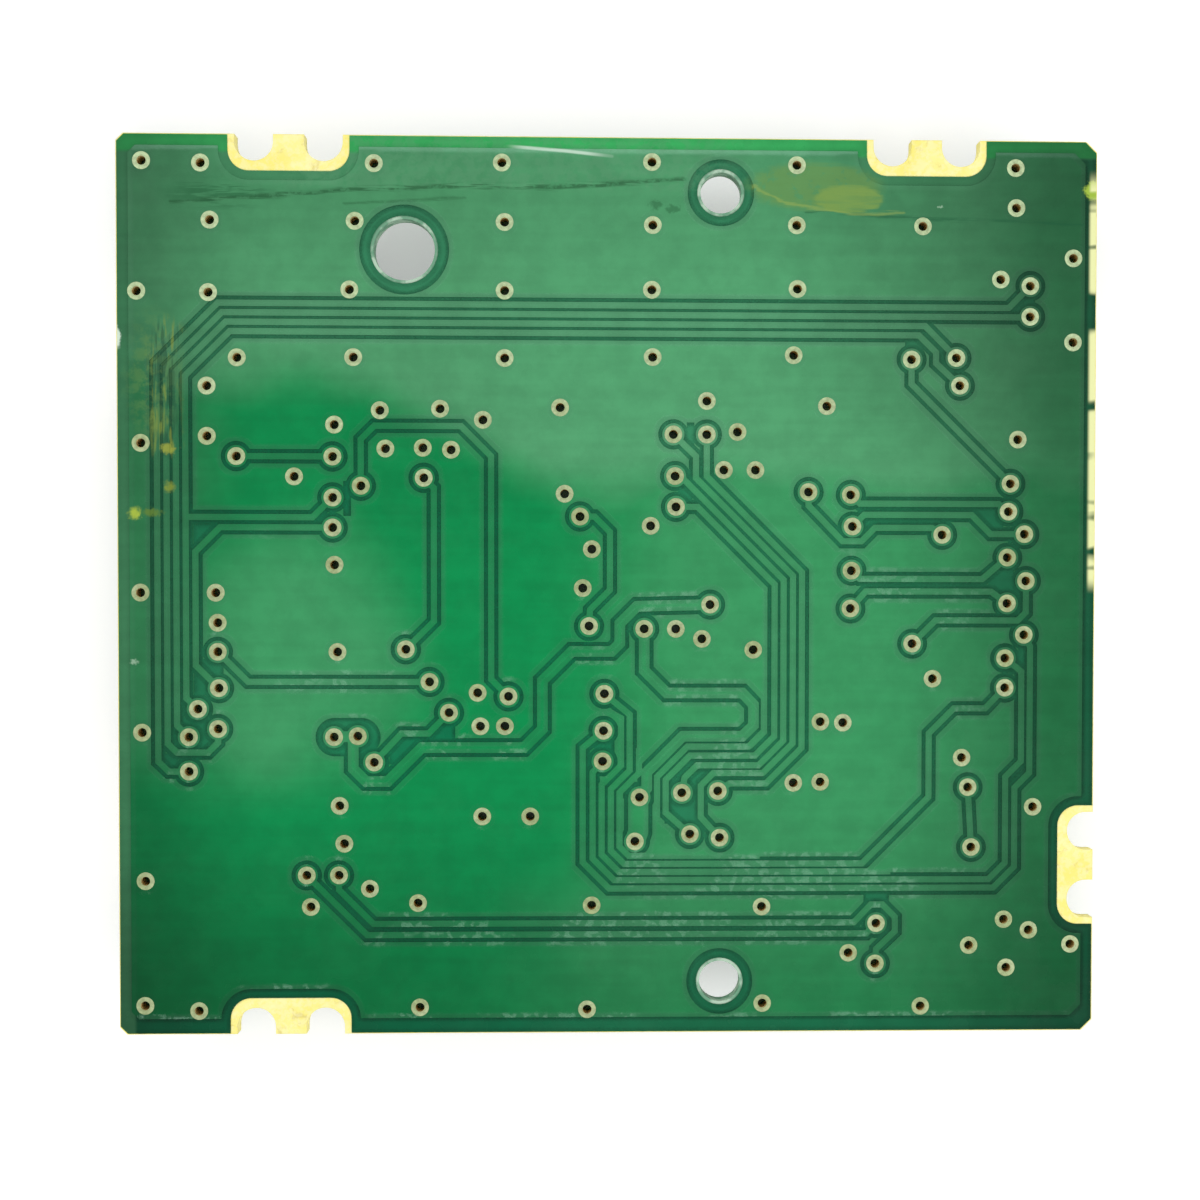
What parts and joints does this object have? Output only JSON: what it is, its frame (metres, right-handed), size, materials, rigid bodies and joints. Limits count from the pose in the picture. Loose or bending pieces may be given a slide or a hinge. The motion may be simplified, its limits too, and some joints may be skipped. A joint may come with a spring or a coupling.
{
  "type": "lcd driver board",
  "caption": "Double-sided display driver circuit board, solder side up, with etched tracks, plated vias, mounting holes and side-entry wire headers underneath.",
  "frame": {"origin": "middle of the board's outline in X and Y, at the height of the faces of the headers on which the board rests", "axes": "+Z up out of the solder side, +X to the right and +Y up in the picture"},
  "size_m": [0.054, 0.0494, 0.005],
  "materials": {
    "laminate": "pale yellow glass-epoxy laminate, matt, with a faint weave",
    "copper": "copper foil under solder mask",
    "tinned_ring": "dull tinned copper",
    "solder_mask": "green solder mask, glossy",
    "solder": "soft tin solder, satin",
    "chip_resin": "black moulded resin, matt",
    "tinned_lead": "tin-plated, satin",
    "tinned_pin": "tin-plated brass pin, satin",
    "header_nylon": "natural nylon, ivory",
    "ferrite": "dark grey ferrite",
    "enamelled_wire": "enamelled copper wire, brown-red",
    "crystal_ceramic": "brown ceramic",
    "crystal_lid": "bare metal lid",
    "tantalum_resin": "orange-yellow moulded resin",
    "capacitor_ceramic": "tan ceramic",
    "resistor_glaze": "black glaze on alumina"
  },
  "bodies": {
    "root": {"laminate": "laminate", "copper_rear": "copper", "copper_front": "copper", "plated_vias": "tinned_ring", "solder_mask_rear": "solder_mask", "solder_mask_front": "solder_mask", "solder_pads": "solder", "controller_body": "chip_resin", "controller_leads": "tinned_lead", "driver_body": "chip_resin", "driver_leads": "tinned_lead", "memory_body": "chip_resin", "memory_leads": "tinned_lead", "input_header_housing": "header_nylon", "input_header_pins": "tinned_pin", "key_header_housing": "header_nylon", "key_header_pins": "tinned_pin", "signal_header_housing": "header_nylon", "signal_header_pins": "tinned_pin", "lamp_header_housing": "header_nylon", "lamp_header_pins": "tinned_pin", "panel_connector_housing": "header_nylon", "panel_connector_contacts": "tinned_pin", "inductor_shield": "ferrite", "inductor_drum": "ferrite", "inductor_winding": "enamelled_wire", "inductor_terminals": "tinned_lead", "crystal_base": "crystal_ceramic", "crystal_lid": "crystal_lid", "tantalum_bodies": "tantalum_resin", "tantalum_terminals": "tinned_lead", "diode_body": "chip_resin", "diode_terminals": "tinned_lead", "regulator_body": "chip_resin", "regulator_leads": "tinned_lead", "transistor_bodies": "chip_resin", "transistor_leads": "tinned_lead", "ceramic_bodies": "capacitor_ceramic", "ceramic_end_caps": "tinned_lead", "resistor_bodies": "resistor_glaze", "resistor_end_caps": "tinned_lead"}
  },
  "joints": []
}
